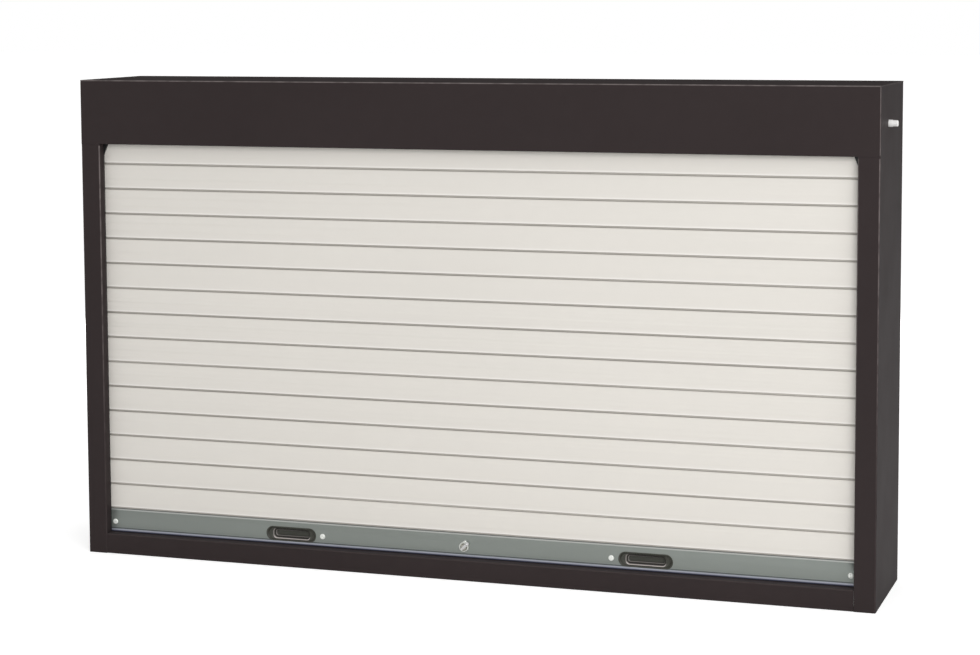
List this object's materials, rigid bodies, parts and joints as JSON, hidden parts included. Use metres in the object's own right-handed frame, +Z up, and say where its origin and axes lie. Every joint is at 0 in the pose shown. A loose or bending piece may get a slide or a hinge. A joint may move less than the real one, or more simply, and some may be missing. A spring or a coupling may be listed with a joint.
{
  "type": "roll front tool cabinet",
  "caption": "Wide shallow wall or bench tool cabinet with a slatted roll-up front, a lifting bar with finger cups and a lock, and a perforated tool panel inside.",
  "frame": {"origin": "centre of the underside, halfway between the two sides and between the front and back faces", "axes": "+X to the right seen from the front, +Y from the front to the back, +Z up"},
  "size_m": [1.533, 0.25, 0.9],
  "materials": {
    "case_paint": "fine textured dark powder coat",
    "panel_paint": "satin grey powder coat",
    "slat": "smooth off-white, satin",
    "bar_metal": "grey-green anodised, satin",
    "cup_plastic": "dark grey-brown, satin",
    "dark_plastic": "black moulded",
    "seal_rubber": "black soft",
    "bright_plating": "bright plated",
    "zinc_steel": "zinc plated",
    "strap_web": "woven webbing"
  },
  "bodies": {
    "cabinet": {"side_panel_left": "case_paint", "side_panel_right": "case_paint", "header_panel": "case_paint", "bottom_panel": "case_paint", "back_panel": "case_paint", "tool_panel_left": "panel_paint", "tool_panel_centre": "panel_paint", "tool_panel_right": "panel_paint", "panel_spacers": "zinc_steel", "panel_screws": "zinc_steel", "guide_rail_left": "case_paint", "guide_rail_right": "case_paint", "guide_liner_left": "dark_plastic", "guide_liner_right": "dark_plastic", "guide_mouth_left": "dark_plastic", "guide_mouth_right": "dark_plastic", "roller_axle": "zinc_steel", "axle_collar_left": "zinc_steel", "axle_collar_right": "zinc_steel", "axle_bracket_left": "zinc_steel", "axle_bracket_right": "zinc_steel", "torsion_spring": "zinc_steel", "spring_anchor": "zinc_steel", "lock_keeper": "zinc_steel", "keeper_rivets": "zinc_steel", "curtain_straps": "strap_web"},
    "bottom_bar": {"bottom_bar": "bar_metal", "bar_screws": "bright_plating", "bottom_seal": "seal_rubber", "bar_end_cap_left": "dark_plastic", "bar_end_cap_right": "dark_plastic", "finger_cup_left": "cup_plastic", "finger_cup_right": "cup_plastic", "lock_body": "bright_plating", "lock_nut": "zinc_steel", "cover_pin": "bright_plating"},
    "lock_cylinder": {"lock_plug": "bright_plating", "lock_cam": "zinc_steel", "cam_screw": "zinc_steel"},
    "keyhole_cover": {"keyhole_cover": "bright_plating"},
    "roller": {"roller_tube": "zinc_steel", "roller_cap_left": "dark_plastic", "roller_cap_right": "dark_plastic", "spring_disc": "dark_plastic"},
    "slat_01": {"slat_01": "slat"},
    "slat_02": {"slat_02": "slat"},
    "slat_03": {"slat_03": "slat"},
    "slat_04": {"slat_04": "slat"},
    "slat_05": {"slat_05": "slat"},
    "slat_06": {"slat_06": "slat"},
    "slat_07": {"slat_07": "slat"},
    "slat_08": {"slat_08": "slat"},
    "slat_09": {"slat_09": "slat"},
    "slat_10": {"slat_10": "slat"},
    "slat_11": {"slat_11": "slat"},
    "slat_12": {"slat_12": "slat"},
    "slat_13": {"slat_13": "slat"},
    "slat_14": {"slat_14": "slat"},
    "slat_15": {"slat_15": "slat"}
  },
  "joints": [
    {"name": "shutter_slide", "type": "slide", "parent": "cabinet", "child": "bottom_bar", "axis": [0, 0, 1], "range_m": [0, 0.675], "deforming": ["curtain_straps"]},
    {"name": "lock_turn", "type": "hinge", "parent": "bottom_bar", "child": "lock_cylinder", "pos_m": [0, -0.09, 0.0575], "axis": [0, 1, 0], "range_deg": [0, 90]},
    {"name": "keyhole_cover_swing", "type": "hinge", "parent": "bottom_bar", "child": "keyhole_cover", "pos_m": [0.00566, -0.1066, 0.06316], "axis": [0, 1, 0], "range_deg": [-100, 0]},
    {"name": "roller_turn", "type": "hinge", "parent": "cabinet", "child": "roller", "pos_m": [0, -0.039, 0.833], "axis": [1, 0, 0], "range_deg": [-1000, 0]},
    {"name": "slat_01_lift", "type": "slide", "parent": "cabinet", "child": "slat_01", "axis": [0, 0, 1], "range_m": [0, 0.6755], "deforming": ["slat_01"]},
    {"name": "slat_02_lift", "type": "slide", "parent": "cabinet", "child": "slat_02", "axis": [0, 0.0002, 1], "range_m": [0, 0.6347], "deforming": ["slat_02"]},
    {"name": "slat_03_lift", "type": "slide", "parent": "cabinet", "child": "slat_03", "axis": [0, 0.0005, 1], "range_m": [0, 0.5939], "deforming": ["slat_03"]},
    {"name": "slat_04_lift", "type": "slide", "parent": "cabinet", "child": "slat_04", "axis": [0, 0.0008, 1], "range_m": [0, 0.5531], "deforming": ["slat_04"]},
    {"name": "slat_05_lift", "type": "slide", "parent": "cabinet", "child": "slat_05", "axis": [0, 0.0012, 1], "range_m": [0, 0.5123], "deforming": ["slat_05"]},
    {"name": "slat_06_lift", "type": "slide", "parent": "cabinet", "child": "slat_06", "axis": [0, 0.0016, 1], "range_m": [0, 0.4715], "deforming": ["slat_06"]},
    {"name": "slat_07_lift", "type": "slide", "parent": "cabinet", "child": "slat_07", "axis": [0, 0.0021, 1], "range_m": [0, 0.4307], "deforming": ["slat_07"]},
    {"name": "slat_08_lift", "type": "slide", "parent": "cabinet", "child": "slat_08", "axis": [0, 0.0027, 1], "range_m": [0, 0.3899], "deforming": ["slat_08"]},
    {"name": "slat_09_lift", "type": "slide", "parent": "cabinet", "child": "slat_09", "axis": [0, 0.0034, 1], "range_m": [0, 0.3491], "deforming": ["slat_09"]},
    {"name": "slat_10_lift", "type": "slide", "parent": "cabinet", "child": "slat_10", "axis": [0, 0.0044, 1], "range_m": [0, 0.3083], "deforming": ["slat_10"]},
    {"name": "slat_11_lift", "type": "slide", "parent": "cabinet", "child": "slat_11", "axis": [0, 0.0056, 1], "range_m": [0, 0.2675], "deforming": ["slat_11"]},
    {"name": "slat_12_lift", "type": "slide", "parent": "cabinet", "child": "slat_12", "axis": [0, 0.0073, 1], "range_m": [0, 0.2267], "deforming": ["slat_12"]},
    {"name": "slat_13_lift", "type": "slide", "parent": "cabinet", "child": "slat_13", "axis": [0, 0.0097, 1], "range_m": [0, 0.1859], "deforming": ["slat_13"]},
    {"name": "slat_14_lift", "type": "slide", "parent": "cabinet", "child": "slat_14", "axis": [0, 0.0135, 0.9999], "range_m": [0, 0.1451], "deforming": ["slat_14"]},
    {"name": "slat_15_lift", "type": "slide", "parent": "cabinet", "child": "slat_15", "axis": [0, 0.0202, 0.9998], "range_m": [0, 0.1043], "deforming": ["slat_15"]}
  ],
  "couplings": [
    {"joint": "roller_turn", "follows": "shutter_slide", "rad_per_m": -25.6},
    {"joint": "slat_01_lift", "follows": "shutter_slide", "ratio": 1},
    {"joint": "slat_02_lift", "follows": "shutter_slide", "ratio": 0.93956},
    {"joint": "slat_03_lift", "follows": "shutter_slide", "ratio": 0.87911},
    {"joint": "slat_04_lift", "follows": "shutter_slide", "ratio": 0.81867},
    {"joint": "slat_05_lift", "follows": "shutter_slide", "ratio": 0.75822},
    {"joint": "slat_06_lift", "follows": "shutter_slide", "ratio": 0.69778},
    {"joint": "slat_07_lift", "follows": "shutter_slide", "ratio": 0.63733},
    {"joint": "slat_08_lift", "follows": "shutter_slide", "ratio": 0.57689},
    {"joint": "slat_09_lift", "follows": "shutter_slide", "ratio": 0.51645},
    {"joint": "slat_10_lift", "follows": "shutter_slide", "ratio": 0.456},
    {"joint": "slat_11_lift", "follows": "shutter_slide", "ratio": 0.39556},
    {"joint": "slat_12_lift", "follows": "shutter_slide", "ratio": 0.33512},
    {"joint": "slat_13_lift", "follows": "shutter_slide", "ratio": 0.27468},
    {"joint": "slat_14_lift", "follows": "shutter_slide", "ratio": 0.21424},
    {"joint": "slat_15_lift", "follows": "shutter_slide", "ratio": 0.15381}
  ]
}
